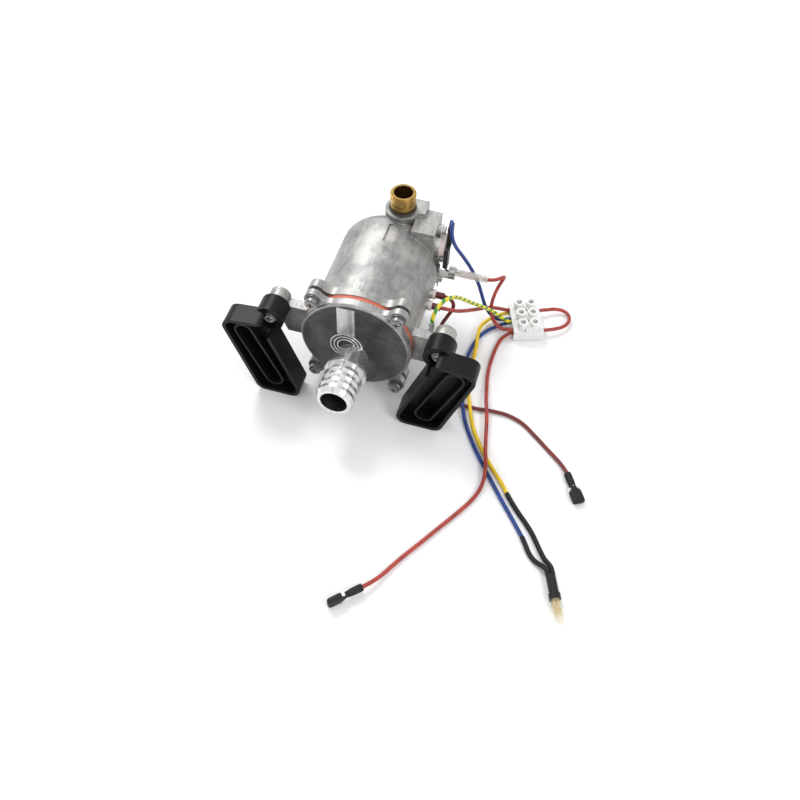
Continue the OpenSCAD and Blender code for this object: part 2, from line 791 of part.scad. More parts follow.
// Routes of the leads over the table, from the boiler or the block outwards
thermostat_route = [
    [blade_x + blade_t / 2, therm_y + blade_offset - y_mid, axis_h + therm_z + blade_len],
    [blade_x + blade_t / 2, therm_y + blade_offset - y_mid, axis_h + therm_z + blade_len + 5],
    [36.6, 54.4, 79.4], [37.4, 51.2, 82.2], [38.4, 47.1, 82], [39.5, 44.2, 78.8], [40.8, 43.8, 74], [43, 45.8, 67],
    [46.8, 48.8, 58.5], [51, 51.4, 49.5], [55, 53.6, 40], [58.6, 55.2, 30], [61.6, 55, 21.5], [65, 53.2, 14.2],
    [69.6, 51.2, 9.2], [75.2, 50.6, 6.8],
    port(-1, 0, ring(30)[0] + 0.1, ring(30)[1] + 0.1, 5), port(-1, 0, ring(30)[0], ring(30)[1], 0)];
fuse_route = [
    [fuse_tip - 3, fuse_y - y_mid, axis_h + fuse_z], [fuse_tip + 1, fuse_y - y_mid, axis_h + fuse_z],
    [70.4, 49.8, 43.6], [73.4, 52.8, 43.2], [74.4, 56.2, 40.6], [73.4, 57.6, 36], [71.6, 56, 31],
    [70.2, 52.4, 26.2], [69.8, 48.2, 21.6], [71, 44.8, 16.6], [74, 42.6, 12], [78.4, 41.8, 8.4],
    port(-1, -1, 0, pair_r + 0.15, 5), port(-1, -1, 0, pair_r, 0)];
heater_route = [
    heater_pin(0, 0.1), heater_pin(0, 3.5), [48.6, 16.4, 42.2], [51.8, 19.8, 38.9], [55.4, 25.2, 34.6],
    [59.2, 31.4, 30.2], [63, 38.2, 25.4], [66.4, 44.8, 20.8], [69.4, 51, 15.8], [72.6, 56.2, 10.8],
    [76.6, 59.6, 7.4], port(-1, 1, 0, pair_r + 0.12, 4), port(-1, 1, 0, pair_r, 0)];
earth_route = [
    [tag_x, tag_y + 1.7 - y_mid, axis_h + tag_z + 8.5], [tag_x, tag_y + 1.7 - y_mid, axis_h + tag_z + 13],
    [43.3, -13, 66], [44.5, -10, 69.5], [46.8, -5, 71], [49.5, 1, 69], [52.2, 7.5, 64], [55, 14, 57],
    [58.2, 20.4, 49.2], [61.6, 26.6, 41.6], [65.2, 32.6, 34.4], [68.8, 38, 27.6], [72.2, 42.6, 21.2],
    [75.4, 46.2, 15.2], [78.8, 48.9, 9.9],
    port(-1, 0, ring(150)[0] - 0.1, ring(150)[1] + 0.25, 5), port(-1, 0, ring(150)[0], ring(150)[1], 0)];
mains_route = [
    port(-1, -1, 0, -pair_r, 0), port(-1, -1, 0, -pair_r - 0.1, 5), [83.2, 41.8, 2.2], [80.8, 38.2, 1.6], [79.2, 31.4, 1.3],
    [78.5, 22, 1.3], [78.4, 12, 1.3], [79.3, 2, 1.7], [81, -8, 3], [82.6, -17, 4.4], [84.6, -25, 4.6], [86.8, -34, 3.6],
    [88.8, -45, 3.6], [91, -56, 4.1], [93, -64.5, 4.4], [94.2, -73, 3.4], [93.6, -81, 1.8], [90.5, -90, 1.3],
    [85, -100, 1.3], [77, -113, 1.3], [69, -126, 1.3], [62, -137, 1.3], [57, -146, 1.6], [53.4, -153, 2.5],
    [49.7, -158.6, 3.4], mains_spade_at + 4.5 * heading(mains_spade_turn + 180),
    mains_spade_at + spade_grip * heading(mains_spade_turn)];
return_route = [
    heater_pin(1, 0.1), heater_pin(1, 2), [46, 24.9, 42.5], [48.3, 24.3, 39.4], [48, 23.4, 34.9], [45.6, 21.8, 29.6],
    [43, 19.4, 23.8], [41.2, 15.8, 17.4], [40.4, 11, 10.8], [41, 6, 5.6], [43.4, 0, 2.2],
    [46.8, -7, 1.3], [51.4, -13.8, 1.3], [57.2, -19.4, 1.3], [63.6, -22.6, 1.3], [71, -23.4, 1.3], [79, -23.2, 1.3],
    [88, -22.3, 1.3], [98, -22.6, 1.3], [108, -26, 1.3], [118, -33.5, 1.3], [127, -41, 1.3], [133.4, -46.4, 1.6],
    [138, -51, 2.1], return_spade_at + 4 * heading(return_spade_turn + 180),
    return_spade_at + spade_grip * heading(return_spade_turn)];
jumper_route = [
    port(1, 1, 0, 0, 0), port(1, 1, 0, 0, 5), [105.5, 71.4, 4], [111, 74.2, 3.4], [116.5, 74.6, 3], [120.5, 71.6, 3],
    [121.6, 66.5, 3], [119.8, 61.4, 3.2], [115.4, 56.8, 3.8], port(1, -1, 0, 0, 5), port(1, -1, 0, 0, 0)];
neon_blue_route = [
    port(-1, 0, 0, -bundle_r, 0), port(-1, 0, 0, -bundle_r - 0.1, 5), [80, 51.4, 2.5], [75, 48, 1.7], [70, 42.8, 1.3],
    [66, 35.6, 1.3], [63.7, 27, 1.3], [62.8, 18, 1.3], [63.2, 8, 1.3], [64.2, -3, 1.5], [65.6, -12, 2.7], [67.4, -19.5, 4.1], [69.8, -27, 3.9],
    [73.2, -35, 2], [78.5, -44.5, 1.3], [85.5, -55.5, 1.3], [92.8, -65.5, 1.3], [100, -75, 1.3],
    [107.5, -84.8, 1.3], [115.5, -94.8, 1.4], [124.1, -105.9, 1.6]];
neon_yellow_route = [
    port(-1, 1, 0, -pair_r, 0), port(-1, 1, 0, -pair_r - 0.08, 5), [76.2, 58.8, 2.9], [71.4, 54.4, 2.8], [67.4, 48.8, 3],
    [65.2, 42.4, 3.8], [65.2, 35.6, 4.2], [66, 29, 3.8], [66.6, 22, 2], [66.9, 13, 1.3], [67.3, 3, 1.3],
    [68.3, -7, 1.8], [70.6, -15.5, 3.4], [73, -22.5, 4.1], [75.6, -30, 3.2], [79.2, -38, 1.5], [84, -46.5, 1.3],
    [90, -55.2, 1.3], [96.8, -63.8, 1.4], [104.8, -73.2, 1.5], [109.5, -79.5, 1.5]];
neon_blue_sleeve_route = [
    [124.1, -105.9, 1.6], [127, -110.4, 1.6], [130, -115.2, 1.7], [133.6, -118.8, 2], [137.2, -120.8, 2.6],
    [140, -122.2, 3.2], neon_blue_entry + 2.6 * heading(neon_turn + 180), neon_blue_entry];
neon_yellow_sleeve_route = [
    [109.5, -79.5, 1.5], [114, -85.2, 1.6], [119, -90.8, 1.6], [125, -97, 1.6], [129.8, -102.8, 1.7],
    [134, -109.2, 1.9], [138.8, -116.2, 2.4], neon_yellow_entry + 5 * heading(neon_turn + 180) - [0.3, 0, 0.4],
    neon_yellow_entry];

module thermostat_lead() {
    color("royalblue") lead(thermostat_route);
}

module fuse_lead() {
    color("firebrick") lead(fuse_route);
}

module heater_lead() {
    color("firebrick") lead(heater_route);
}

module earth_lead() {
    color("yellowgreen") lead(earth_route);
}

module mains_lead() {
    color("firebrick") lead(mains_route);
}

module return_lead() {
    color("darkred") lead(return_route);
}

module jumper_lead() {
    color("firebrick") lead(jumper_route);
}

module neon_blue_lead() {
    color("royalblue") lead(neon_blue_route);
}

module neon_yellow_lead() {
    color("gold") lead(neon_yellow_route);
}

module neon_blue_sleeve() {
    color("snow") lead(neon_blue_sleeve_route, 2 * neon_sleeve_r);
}

module neon_yellow_sleeve() {
    color("snow") lead(neon_yellow_sleeve_route, 2 * neon_sleeve_r);
}

// The bare link from the lower blade round to the fuse
module thermostat_link() {
    lead_x = blade_x + blade_t / 2;
    color("dimgray") in_frame() translate([0, fuse_y, 0]) {
        rod_x(0, fuse_z, lead_x + fuse_bend, fuse_start, link_r);
        translate([lead_x + fuse_bend, 0, fuse_z + fuse_bend]) rotate([90, 0, 0]) rotate([0, 0, 180])
            rotate_extrude(angle = 90) translate([fuse_bend, 0]) circle(link_r);
        translate([lead_x, 0, fuse_z + fuse_bend])
            cylinder(r = link_r, h = therm_z - blade_len - fuse_z - fuse_bend);
    }
}

module thermal_fuse() {
    color("rosybrown") in_frame() translate([0, fuse_y, 0]) {
        rod_x(0, fuse_z, fuse_start, fuse_start + 13, fuse_in_r);
        rod_x(0, fuse_z, fuse_start + 12, fuse_tip - 3, 0.6);
    }
}

// A push-on receptacle along +X, its crimp at the origin, lying flat
module spade() {
    difference() {
        union() {
            rod_x(0, 0, 0, 6, 1.7);
            translate([5, -1.6, -0.9]) cube([3, 3.2, 1.8]);
            translate([7, -3.3, -1.2]) cube([8, 6.6, 2.4]);
        }
        rod_x(0, 0, -1, spade_grip, wire_d / 2 + 0.05);
        translate([8, -3, -0.45]) cube([8, 6, 0.9]);
    }
}

// Its insulating sleeve, round at the lead and flat at the mouth
module spade_sleeve() {
    difference() {
        union() {
            rod_x(0, 0, -4, 7, 2.35);
            translate([5.5, -3.8, -1.7]) cube([12, 7.6, 3.4]);
        }
        rod_x(0, 0, -5, 8, 1.72);
        translate([6.5, -3.35, -1.25]) cube([12, 6.7, 2.5]);
    }
}

module mains_spade() {
    color("silver") translate(mains_spade_at) rotate([0, 0, mains_spade_turn]) rotate([90, 0, 0]) spade();
}

module mains_spade_sleeve() {
    color("maroon") translate(mains_spade_at) rotate([0, 0, mains_spade_turn]) rotate([90, 0, 0]) spade_sleeve();
}

module return_spade() {
    color("silver") translate(return_spade_at) rotate([0, 0, return_spade_turn]) spade();
}

module return_spade_sleeve() {
    color("maroon") translate(return_spade_at) rotate([0, 0, return_spade_turn]) spade_sleeve();
}

// The neon lamp lies along +X from its sleeve's mouth
module at_neon() {
    translate(neon_at) rotate([0, 0, neon_turn]) children();
}

module neon_end_sleeve() {
    color("snow") at_neon() difference() {
        union() {
            rod_x(0, 0, 0, 15, 2.75);
            rod_x(0, 0, 11.5, 15, neon_r + 0.45);
        }
        rod_x(0, 0, -1, 16, 2.2);
        rod_x(0, 0, 12, 16, neon_r + 0.05);
    }
}

module neon_glass() {
    color("lightyellow") at_neon() rotate([0, 90, 0]) rotate_extrude() difference() {
        union() {
            translate([0, 12]) square([neon_r, 13]);
            polygon([[0, 25], [neon_r, 25], [neon_r * 0.85, 27], [neon_r * 0.5, 28.6], [0.6, 29.4], [0.4, 31], [0, 31]]);
        }
        translate([0, 11]) square([neon_r - 0.7, 13.5]);
    }
}

module neon_electrodes() {
    color("gray") at_neon() for (s = [-1, 1]) {
        rod_x(s * 1.1, 0, 13, 23, 0.7);
        rod_x(s * 1.1, 0, 11.5, 14, 0.25);
    }
}

module neon_resistor() {
    color("tan") at_neon() {
        rod_x(0.4, 0, 3, 8, 1.1);
        rod_x(0.4, 0, 0.5, 10.5, 0.25);
    }
}

module resistor_sleeve() {
    color("snow") at_neon() difference() {
        rod_x(0.4, 0, 0.5, 10.5, 1.45);
        rod_x(0.4, 0, 0, 11, 1.1);
    }
}

boiler_pot();
boiler_lid();
lid_gasket();
lid_screws();
lid_washers();
heating_element();
heater_bushes();
heater_pins();
heater_pin_sleeves();
inlet_nipple();
inlet_seal();
left_bracket();
right_bracket();
bracket_bushes();
bracket_screws();
bracket_washers();
thermostat_cap();
thermostat_body();
thermostat_guide();
snap_disc();
push_pin();
contact_arm();
thermostat_terminals();
thermostat_strap();
thermostat_screws();
upper_terminal_boot();
lower_terminal_boot();
fuse_holder();
fuse_holder_screw();
thermal_fuse();
fuse_sleeve();
earth_tag();
earth_screw();
block_body();
block_inserts();
block_screws();
thermostat_lead();
thermostat_link();
fuse_lead();
heater_lead();
earth_lead();
mains_lead();
return_lead();
jumper_lead();
neon_blue_lead();
neon_yellow_lead();
mains_spade();
mains_spade_sleeve();
return_spade();
return_spade_sleeve();
neon_blue_sleeve();
neon_yellow_sleeve();
neon_end_sleeve();
neon_glass();
neon_electrodes();
neon_resistor();
resistor_sleeve();
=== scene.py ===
import math
import bpy
import numpy as np
from mathutils import Matrix


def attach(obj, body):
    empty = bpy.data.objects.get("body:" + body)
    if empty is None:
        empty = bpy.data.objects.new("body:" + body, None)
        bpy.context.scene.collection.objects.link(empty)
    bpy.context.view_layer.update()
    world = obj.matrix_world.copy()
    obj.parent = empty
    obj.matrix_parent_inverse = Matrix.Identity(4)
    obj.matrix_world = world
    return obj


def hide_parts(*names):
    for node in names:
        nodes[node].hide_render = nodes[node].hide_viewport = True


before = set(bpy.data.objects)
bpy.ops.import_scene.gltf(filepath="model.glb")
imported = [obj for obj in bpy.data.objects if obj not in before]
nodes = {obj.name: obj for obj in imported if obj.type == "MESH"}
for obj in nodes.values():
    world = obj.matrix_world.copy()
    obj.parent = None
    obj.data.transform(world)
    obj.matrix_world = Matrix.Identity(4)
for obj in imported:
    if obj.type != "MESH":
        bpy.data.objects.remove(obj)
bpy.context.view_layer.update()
MM = 0.001
ROUTE_STEPS = 8
TUBE_SIDES, BOOT_SIDES = 24, 32


# ---------------------------------------------------------------- meshes

def unit(vectors):
    """Each vector divided by its own length."""
    return vectors / np.linalg.norm(vectors, axis=-1, keepdims=True)


def grid_faces(rows, columns):
    """Four-cornered faces between neighbouring points of a grid, whose every row closes into a ring."""
    i = np.arange(rows - 1)[:, None]
    j = np.arange(columns)[None, :]
    corners = [(i, j), (i, j + 1), (i + 1, j + 1), (i + 1, j)]
    return np.stack([a * columns + b % columns for a, b in corners], -1).reshape(-1, 4)


def make_piece(name, points, faces, around_and_along=None, smooth=True):
    """A mesh object at the origin, its place in its points; around_and_along becomes its UV map."""
    mesh = bpy.data.meshes.new(name)
    mesh.from_pydata(points.reshape(-1, 3).tolist(), [], [list(face) for face in faces])
    if around_and_along is not None:
        corners = np.zeros(len(mesh.loops), dtype=np.int32)
        mesh.loops.foreach_get("vertex_index", corners)
        layer = mesh.uv_layers.new(name="UVMap")
        layer.data.foreach_set("uv", around_and_along.reshape(-1, 2)[corners].ravel())
    mesh.polygons.foreach_set("use_smooth", [smooth] * len(mesh.polygons))
    mesh.validate()
    mesh.update()
    piece = bpy.data.objects.new(name, mesh)
    bpy.context.scene.collection.objects.link(piece)
    return piece


def smooth_route(points):
    """The same curve as the solid's: a cubic from each point to the next, whose slope at a point is
    the vector between its two neighbours over their distance along the route."""
    p = np.array(points, float)
    gap = np.linalg.norm(np.diff(p, axis=0), axis=1)
    order = np.arange(len(p))
    before = np.maximum(order - 1, 0)
    after = np.minimum(order + 1, len(p) - 1)
    spans = np.concatenate([[0], gap]) + np.concatenate([gap, [0]])
    slope = (p[after] - p[before]) / spans[:, None]
    t = (np.arange(ROUTE_STEPS) / ROUTE_STEPS)[None, :, None]
    u = 1 - t
    d = gap[:, None, None]
    inner = (u * u * (1 + 2 * t) * p[:-1, None] + t * u * u * d * slope[:-1, None]
             + t * t * (3 - 2 * t) * p[1:, None] - t * t * u * d * slope[1:, None])
    return np.concatenate([inner.reshape(-1, 3), p[-1:]])


def sweep(name, centre, radius):
    """A closed tube: rings of one radius at right angles to the centre line. A ring's first side is
    square to the direction that the route runs along least, so that the rings don't twist."""
    tangent = unit(np.gradient(centre, axis=0))
    least = np.linalg.svd(tangent)[2][-1]
    side = unit(np.cross(least, tangent))
    lift = np.cross(tangent, side)
    angle = np.linspace(0, 2 * math.pi, TUBE_SIDES, endpoint=False)[None, :, None]
    rings = centre[:, None] + radius * (np.cos(angle) * side[:, None] + np.sin(angle) * lift[:, None])
    return capped(name, rings)


def capped(name, rings):
    """A closed skin through rings of points, with a fan over the first and the last ring. Its UV map
    is the share of the way round, and the metres along."""
    count, sides = rings.shape[:2]
    centre = rings.mean(axis=1)
    along = np.concatenate([[0], np.cumsum(np.linalg.norm(np.diff(centre, axis=0), axis=1))])
    uv = np.stack(np.broadcast_arrays(np.arange(sides)[None] / sides, along[:, None]), -1)
    points = np.concatenate([rings.reshape(-1, 3), centre[[0, -1]]])
    uv = np.concatenate([uv.reshape(-1, 2), [[0, 0], [0, along[-1]]]])
    faces = grid_faces(count, sides).tolist()
    last = (count - 1) * sides
    k = np.arange(sides)
    faces += np.stack([(k + 1) % sides, k, np.full(sides, len(points) - 2)], -1).tolist()
    faces += np.stack([last + k, last + (k + 1) % sides, np.full(sides, len(points) - 1)], -1).tolist()
    return make_piece(name, points, faces, uv)


def spade_boot(name, place, turn, on_edge):
    """The shrunk sleeve over a push-on terminal. At x along it, its section is the rounded oblong
    |y / w|^n + |z / t|^n = 1, whose w, t and n run from the round grip, over a narrow waist, to the
    flat head. Straight lines join the table's rows, which stand close together where the ends turn in."""
    table = np.array([  # x, half width, half thickness, n
        [-4, 1.7, 1.7, 2], [-3.7, 2.2, 2.2, 2], [-2, 2.35, 2.3, 2], [1, 2.3, 2.25, 2], [3.4, 2.25, 2.1, 2],
        [5.4, 1.95, 1.75, 2.2], [7.2, 2.2, 1.6, 2.6], [8.8, 3.4, 1.75, 3.4], [10, 3.75, 1.9, 4],
        [15.4, 3.75, 1.85, 4], [16.6, 3.6, 1.7, 4], [17.2, 3.1, 1.3, 4], [17.4, 2.4, 0.8, 3.4]])
    x = np.linspace(table[0, 0], table[-1, 0], 90)
    width, thick, power = [np.interp(x, table[:, 0], table[:, i])[:, None] for i in (1, 2, 3)]
    waist, reach, depth = 5.5, 3, 0.025
    wrinkle = 1 + depth * np.sin(x * 2.9)[:, None] * np.exp(-((x[:, None] - waist) / reach) ** 2)
    angle = np.linspace(0, 2 * math.pi, BOOT_SIDES, endpoint=False)[None]
    across = width * wrinkle * np.sign(np.cos(angle)) * np.abs(np.cos(angle)) ** (2 / power)
    up = thick * wrinkle * np.sign(np.sin(angle)) * np.abs(np.sin(angle)) ** (2 / power)
    if on_edge:
        across, up = -up, across
    rings = (place + x[:, None, None] * heading(turn) + across[..., None] * heading(turn + 90)
             + up[..., None] * np.array([0, 0, 1]))
    return capped(name, rings * MM)


# ---------------------------------------------------------------- camera and light

# The camera's turn, where it stands from the flange's middle (right, up, back), and that middle
CAMERA_TURN = (13.56, 52.71, 2.85)
CAMERA_OFFSET = np.array([26.95, -34.05, 580.6])
FLANGE = np.array([0, -29, 43.5])
SENSOR, LENS = 36, 43.13


def main_camera():
    """A camera turned by yaw, pitch and roll about the boiler's flange, then moved back."""
    yaw, pitch, roll = np.radians(CAMERA_TURN)
    back = np.array([math.sin(yaw) * math.cos(pitch), -math.cos(yaw) * math.cos(pitch), math.sin(pitch)])
    right = np.array([math.cos(yaw), math.sin(yaw), 0])
    up = np.cross(back, right)
    turned = np.array([math.cos(roll) * right + math.sin(roll) * up,
                       -math.sin(roll) * right + math.cos(roll) * up, back])
    place = turned.T @ CAMERA_OFFSET + FLANGE
    data = bpy.data.cameras.new("camera")
    data.sensor_width, data.lens = SENSOR, LENS
    data.clip_start, data.clip_end = 0.01, 20
    camera = bpy.data.objects.new("camera", data)
    matrix = Matrix(turned.T.tolist()).to_4x4()
    matrix.translation = place * MM
    camera.matrix_world = matrix
    bpy.context.scene.collection.objects.link(camera)
    bpy.context.scene.camera = camera


def soft_light(name, place, target, size, power):
    """A square area light that faces its target."""
    data = bpy.data.lights.new(name, "AREA")
    data.size, data.energy = size, power
    lamp = bpy.data.objects.new(name, data)
    place, target = np.array(place, float), np.array(target, float)
    back = unit(place - target)
    side = unit(np.cross([0, 1, 0.1], back))
    matrix = Matrix(np.array([side, np.cross(back, side), back]).T.tolist()).to_4x4()
    matrix.translation = place
    lamp.matrix_world = matrix
    bpy.context.scene.collection.objects.link(lamp)


main_camera()

# ---------------------------------------------------------------- cords

LEAD_D, LAMP_SLEEVE_R = 2.4, 1.45
# How far from a port's middle its leads stand, where it holds three and where it holds two
BUNDLE_R, PAIR_R = LEAD_D * 0.58, LEAD_D * 0.52
# The terminal block: its middle, turn, its ports' height and spacing, and half its inserts' length
BLOCK_AT, BLOCK_TURN = (93.3, 56.4), 20
PORT_Z, POLE_PITCH, INSERT_END = 4.6, 9, 6


def heading(turn):
    """The level unit vector at this many degrees from X: its cosine and its sine."""
    return np.array([math.cos(math.radians(turn)), math.sin(math.radians(turn)), 0])


def port(side, pole, across, up, out):
    """A point of the terminal block: out along the lead, across and up from the port's middle."""
    return (np.array([*BLOCK_AT, PORT_Z + up]) + side * (INSERT_END + out) * heading(BLOCK_TURN)
            + (pole * POLE_PITCH + across) * heading(BLOCK_TURN + 90))


def ring(angle):
    """Across and up to a lead of a bundle of three, at this angle round the port."""
    return BUNDLE_R * math.cos(math.radians(angle)), BUNDLE_R * math.sin(math.radians(angle))


MAINS_SPADE, MAINS_TURN = np.array([43, -166, 4.1]), 225
RETURN_SPADE, RETURN_TURN = np.array([143.5, -59, 2.5]), -60
NEON, NEON_TURN = np.array([144, -126, 3.6]), -69
SPADE_GRIP = 4
# The lamp's two lead sleeves end side by side, just short of its end sleeve
LAMP_GAP, LAMP_CLEARANCE = 1.5, 0.15
LAMP_MOUTH = NEON - LAMP_CLEARANCE * heading(NEON_TURN)
BLUE_ENTRY = LAMP_MOUTH + LAMP_GAP * heading(NEON_TURN - 90)
YELLOW_ENTRY = LAMP_MOUTH + LAMP_GAP * heading(NEON_TURN + 90)

ROUTES = {
    "thermostat_lead": [
        (36.35, 55.55, 70.5), (36.35, 55.55, 75.5), (36.6, 54.4, 79.4), (37.4, 51.2, 82.2),
        (38.4, 47.1, 82), (39.5, 44.2, 78.8), (40.8, 43.8, 74), (43, 45.8, 67), (46.8, 48.8, 58.5),
        (51, 51.4, 49.5), (55, 53.6, 40), (58.6, 55.2, 30), (61.6, 55, 21.5), (65, 53.2, 14.2),
        (69.6, 51.2, 9.2), (75.2, 50.6, 6.8), port(-1, 0, ring(30)[0] + 0.1, ring(30)[1] + 0.1, 5),
        port(-1, 0, *ring(30), 0)],
    "fuse_lead": [
        (62, 48.55, 43), (66, 48.55, 43), (70.4, 49.8, 43.6), (73.4, 52.8, 43.2), (74.4, 56.2, 40.6),
        (73.4, 57.6, 36), (71.6, 56, 31), (70.2, 52.4, 26.2), (69.8, 48.2, 21.6), (71, 44.8, 16.6),
        (74, 42.6, 12), (78.4, 41.8, 8.4), port(-1, -1, 0, PAIR_R + 0.15, 5), port(-1, -1, 0, PAIR_R, 0)],
    "heater_lead": [
        (40.6, 15.05, 43.5), (44, 15.05, 43.5), (48.6, 16.4, 42.2), (51.8, 19.8, 38.9),
        (55.4, 25.2, 34.6), (59.2, 31.4, 30.2), (63, 38.2, 25.4), (66.4, 44.8, 20.8), (69.4, 51, 15.8),
        (72.6, 56.2, 10.8), (76.6, 59.6, 7.4), port(-1, 1, 0, PAIR_R + 0.12, 4),
        port(-1, 1, 0, PAIR_R, 0)],
    "earth_lead": [
        (43, -13.75, 58), (43, -13.75, 62.5), (43.3, -13, 66), (44.5, -10, 69.5), (46.8, -5, 71),
        (49.5, 1, 69), (52.2, 7.5, 64), (55, 14, 57), (58.2, 20.4, 49.2), (61.6, 26.6, 41.6),
        (65.2, 32.6, 34.4), (68.8, 38, 27.6), (72.2, 42.6, 21.2), (75.4, 46.2, 15.2), (78.8, 48.9, 9.9),
        port(-1, 0, ring(150)[0] - 0.1, ring(150)[1] + 0.25, 5), port(-1, 0, *ring(150), 0)],
    "mains_lead": [
        port(-1, -1, 0, -PAIR_R, 0), port(-1, -1, 0, -PAIR_R - 0.1, 5), (83.2, 41.8, 2.2),
        (80.8, 38.2, 1.6), (79.2, 31.4, 1.3), (78.5, 22, 1.3), (78.4, 12, 1.3), (79.3, 2, 1.7),
        (81, -8, 3), (82.6, -17, 4.4), (84.6, -25, 4.6), (86.8, -34, 3.6), (88.8, -45, 3.6),
        (91, -56, 4.1), (93, -64.5, 4.4), (94.2, -73, 3.4), (93.6, -81, 1.8), (90.5, -90, 1.3),
        (85, -100, 1.3), (77, -113, 1.3), (69, -126, 1.3), (62, -137, 1.3), (57, -146, 1.6),
        (53.4, -153, 2.5), (49.7, -158.6, 3.4), MAINS_SPADE + 4.5 * heading(MAINS_TURN + 180),
        MAINS_SPADE + SPADE_GRIP * heading(MAINS_TURN)],
    "return_lead": [
        (40.6, 25.05, 43.5), (42.5, 25.05, 43.5), (46, 24.9, 42.5), (48.3, 24.3, 39.4),
        (48, 23.4, 34.9), (45.6, 21.8, 29.6), (43, 19.4, 23.8), (41.2, 15.8, 17.4), (40.4, 11, 10.8),
        (41, 6, 5.6), (43.4, 0, 2.2), (46.8, -7, 1.3), (51.4, -13.8, 1.3), (57.2, -19.4, 1.3),
        (63.6, -22.6, 1.3), (71, -23.4, 1.3), (79, -23.2, 1.3), (88, -22.3, 1.3), (98, -22.6, 1.3),
        (108, -26, 1.3), (118, -33.5, 1.3), (127, -41, 1.3), (133.4, -46.4, 1.6), (138, -51, 2.1),
        RETURN_SPADE + 4 * heading(RETURN_TURN + 180), RETURN_SPADE + SPADE_GRIP * heading(RETURN_TURN)],
    "jumper_lead": [
        port(1, 1, 0, 0, 0), port(1, 1, 0, 0, 5), (105.5, 71.4, 4), (111, 74.2, 3.4), (116.5, 74.6, 3),
        (120.5, 71.6, 3), (121.6, 66.5, 3), (119.8, 61.4, 3.2), (115.4, 56.8, 3.8),
        port(1, -1, 0, 0, 5), port(1, -1, 0, 0, 0)],
    "neon_blue_lead": [
        port(-1, 0, 0, -BUNDLE_R, 0), port(-1, 0, 0, -BUNDLE_R - 0.1, 5), (80, 51.4, 2.5),
        (75, 48, 1.7), (70, 42.8, 1.3), (66, 35.6, 1.3), (63.7, 27, 1.3), (62.8, 18, 1.3),
        (63.2, 8, 1.3), (64.2, -3, 1.5), (65.6, -12, 2.7), (67.4, -19.5, 4.1), (69.8, -27, 3.9),
        (73.2, -35, 2), (78.5, -44.5, 1.3), (85.5, -55.5, 1.3), (92.8, -65.5, 1.3), (100, -75, 1.3),
        (107.5, -84.8, 1.3), (115.5, -94.8, 1.4), (124.1, -105.9, 1.6)],
    "neon_yellow_lead": [
        port(-1, 1, 0, -PAIR_R, 0), port(-1, 1, 0, -PAIR_R - 0.08, 5), (76.2, 58.8, 2.9),
        (71.4, 54.4, 2.8), (67.4, 48.8, 3), (65.2, 42.4, 3.8), (65.2, 35.6, 4.2), (66, 29, 3.8),
        (66.6, 22, 2), (66.9, 13, 1.3), (67.3, 3, 1.3), (68.3, -7, 1.8), (70.6, -15.5, 3.4),
        (73, -22.5, 4.1), (75.6, -30, 3.2), (79.2, -38, 1.5), (84, -46.5, 1.3), (90, -55.2, 1.3),
        (96.8, -63.8, 1.4), (104.8, -73.2, 1.5), (109.5, -79.5, 1.5)],
}
SLEEVE_ROUTES = {
    "neon_blue_sleeve": [
        (124.1, -105.9, 1.6), (127, -110.4, 1.6), (130, -115.2, 1.7), (133.6, -118.8, 2),
        (137.2, -120.8, 2.6), (140, -122.2, 3.2), BLUE_ENTRY + 2.6 * heading(NEON_TURN + 180),
        BLUE_ENTRY],
    "neon_yellow_sleeve": [
        (109.5, -79.5, 1.5), (114, -85.2, 1.6), (119, -90.8, 1.6), (125, -97, 1.6),
        (129.8, -102.8, 1.7), (134, -109.2, 1.9), (138.8, -116.2, 2.4),
        YELLOW_ENTRY + 5 * heading(NEON_TURN + 180) - (0.3, 0, 0.4), YELLOW_ENTRY],
}
# What each lead ends in, how stiff it is and what is on it
CORD_ENDS = {
    "heater_lead": ("connector", "stiff", ["block_body", "block_inserts", "block_screws"]),
    "thermostat_lead": ("object", "stiff", []),
    "fuse_lead": ("object", "stiff", []),
    "earth_lead": ("object", "stiff", []),
    "mains_lead": ("connector", "medium", ["mains_spade", "mains_spade_sleeve"]),
    "return_lead": ("connector", "medium", ["return_spade", "return_spade_sleeve"]),
    "jumper_lead": ("object", "medium", []),
    "neon_blue_lead": ("fitting", "medium", ["neon_glass", "neon_electrodes", "neon_end_sleeve",
                                             "neon_resistor", "resistor_sleeve"]),
    "neon_yellow_lead": ("fitting", "medium", []),
}


cords = {}
for name, route in {**SLEEVE_ROUTES, **ROUTES}.items():
    radius = LAMP_SLEEVE_R if name in SLEEVE_ROUTES else LEAD_D / 2
    cords[name] = sweep(name + "_look", smooth_route(route) * MM, radius * MM)
    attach(cords[name], "boiler")
    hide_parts(name)
for name, place, turn, on_edge in [("mains_spade_sleeve", MAINS_SPADE, MAINS_TURN, True),
                                   ("return_spade_sleeve", RETURN_SPADE, RETURN_TURN, False)]:
    cords[name] = spade_boot(name + "_look", place, turn, on_edge)
    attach(cords[name], "boiler")
    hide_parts(name)
for name, (far_end, stiffness, others) in CORD_ENDS.items():
    pieces = [cords.get(other, nodes[other]) for other in others]
    if name.startswith("neon"):
        pieces.append(cords[name.replace("lead", "sleeve")])

# ---------------------------------------------------------------- materials


